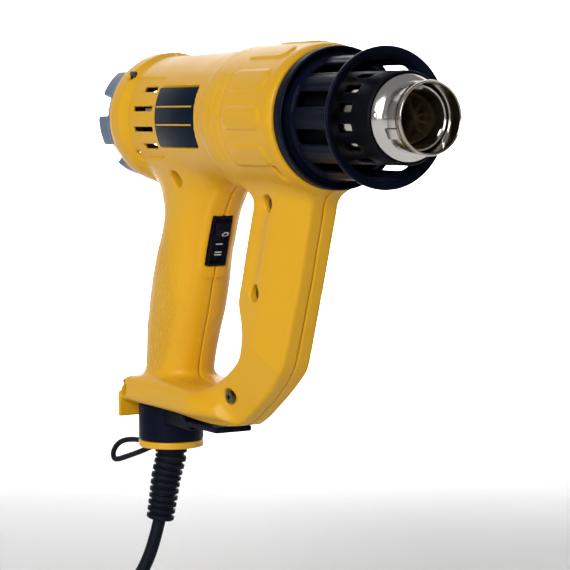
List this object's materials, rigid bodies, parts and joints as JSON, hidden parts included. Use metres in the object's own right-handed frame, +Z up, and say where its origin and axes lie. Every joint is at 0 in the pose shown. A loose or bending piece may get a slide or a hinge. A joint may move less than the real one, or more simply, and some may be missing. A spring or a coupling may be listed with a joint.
{
  "type": "heat gun",
  "caption": "Hand-held hot air gun with a closed D handle, slotted nozzle guard, slide switch, rear dial, swing-out stand and coiled mains lead.",
  "frame": {"origin": "middle of the grip, where the hand holds the tool, in the tool's plane of symmetry", "axes": "+X forward along the barrel to the nozzle, +Y to the tool's left, +Z up"},
  "size_m": [0.2954, 0.1508, 0.3252],
  "materials": {
    "housing_yellow": "moulded satin",
    "black_plastic": "fine moulded texture",
    "slate_plastic": "satin",
    "black_rubber": "matt",
    "nozzle_steel": "polished, heat tinted",
    "dark_steel": "dark",
    "mica": "matt",
    "copper": "drawn wire",
    "board_green": "lacquered",
    "white_plastic": "satin",
    "plug_metal": "plated"
  },
  "bodies": {
    "housing": {"housing_right": "housing_yellow", "housing_left": "housing_yellow", "rear_cover": "slate_plastic", "dial_control": "white_plastic", "motor": "dark_steel", "motor_mount": "black_plastic", "air_duct": "mica", "heater_tube": "mica", "heater_core": "mica", "heating_coil": "copper", "thermal_cutout": "dark_steel", "front_bulkhead": "black_plastic", "heat_sleeve": "black_plastic", "nozzle_tube": "nozzle_steel", "nozzle_insert": "nozzle_steel", "label_plate_right": "black_plastic", "label_plate_left": "black_plastic", "switch_case": "black_plastic", "circuit_board": "board_green", "board_capacitor": "white_plastic", "board_heat_sink": "dark_steel", "cord_clamp": "black_plastic", "core_wire_left": "copper", "core_wire_right": "copper", "grip_top_screw": "dark_steel", "bow_upper_screw": "dark_steel", "bow_middle_screw": "dark_steel", "base_front_screw": "dark_steel", "base_rear_screw": "dark_steel", "barrel_rear_screw": "dark_steel", "swivel_neck": "black_plastic", "retaining_disc": "housing_yellow", "strain_relief": "black_rubber", "hanging_loop": "black_rubber", "power_cord": "black_rubber", "cord_coil": "black_rubber", "cord_tail": "black_rubber", "coil_tie": "black_rubber", "plug_body": "black_rubber", "plug_pin_left": "plug_metal", "plug_pin_right": "plug_metal"},
    "guard": {"nozzle_guard": "black_plastic"},
    "stand_arm": {"stand": "black_plastic"},
    "dial": {"temperature_dial": "black_plastic"},
    "fan_wheel": {"fan": "white_plastic"},
    "switch": {"switch_slider": "black_plastic"}
  },
  "joints": [
    {"name": "guard_slide", "type": "slide", "parent": "housing", "child": "guard", "axis": [1, 0, 0], "range_m": [0, 0.08]},
    {"name": "stand_swing", "type": "hinge", "parent": "housing", "child": "stand_arm", "pos_m": [-0.0185, 0, -0.07], "axis": [0, 0, 1], "range_deg": [-90, 90]},
    {"name": "dial_turn", "type": "hinge", "parent": "housing", "child": "dial", "pos_m": [-0.034, 0, 0.09], "axis": [-1, 0, 0], "range_deg": [0, 270]},
    {"name": "fan_spin", "type": "hinge", "parent": "housing", "child": "fan_wheel", "pos_m": [0.005, 0, 0.09], "axis": [1, 0, 0], "continuous": true},
    {"name": "switch_slide", "type": "slide", "parent": "housing", "child": "switch", "axis": [-0.2955, 0, -0.9553], "range_m": [0, 0.011]}
  ]
}
